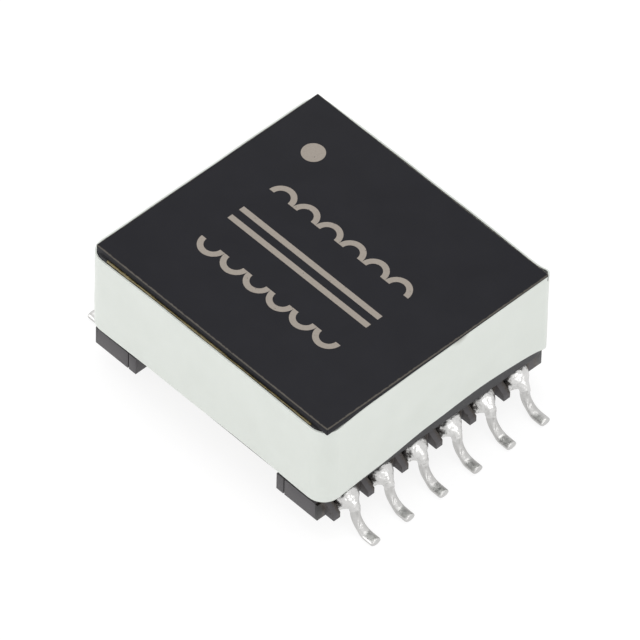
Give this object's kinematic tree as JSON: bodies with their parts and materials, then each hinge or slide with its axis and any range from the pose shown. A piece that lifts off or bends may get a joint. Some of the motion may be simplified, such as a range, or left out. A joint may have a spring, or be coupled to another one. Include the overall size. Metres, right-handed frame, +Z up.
{
  "type": "pcb transformer",
  "caption": "Flat surface-mount transformer: a taped ferrite core round a coil former, a thin black cover plate, and gull-wing pins along two sides.",
  "frame": {"origin": "centre of the footprint at the level of the pin soles", "axes": "+X from the row of pins 1 to 6 towards the row of pins 7 to 12, +Y along the rows, +Z up"},
  "size_m": [0.0262, 0.0198, 0.0108],
  "materials": {
    "cover_black": "matt moulded plate",
    "ferrite": "matt fired ferrite",
    "core_tape": "satin film tape",
    "glue": "cured adhesive",
    "former_plastic": "matt mineral-filled moulding",
    "enamelled_wire": "clear enamel on copper",
    "wrap_film": "glossy polyester film",
    "tinned_wire": "bright tin",
    "solder": "bright solder"
  },
  "bodies": {
    "root": {"bobbin": "former_plastic", "core_half_left": "ferrite", "core_half_right": "ferrite", "core_tape": "core_tape", "cover_glue": "glue", "cover_plate": "cover_black", "winding_1": "enamelled_wire", "winding_2": "enamelled_wire", "winding_3": "enamelled_wire", "winding_4": "enamelled_wire", "winding_5": "enamelled_wire", "winding_6": "enamelled_wire", "winding_wrap": "wrap_film", "lead_01": "tinned_wire", "lead_02": "tinned_wire", "lead_03": "tinned_wire", "lead_04": "tinned_wire", "lead_05": "tinned_wire", "lead_06": "tinned_wire", "lead_07": "tinned_wire", "lead_08": "tinned_wire", "lead_09": "tinned_wire", "lead_10": "tinned_wire", "lead_11": "tinned_wire", "lead_12": "tinned_wire", "solder_joints_left": "solder", "solder_joints_right": "solder"}
  },
  "joints": []
}
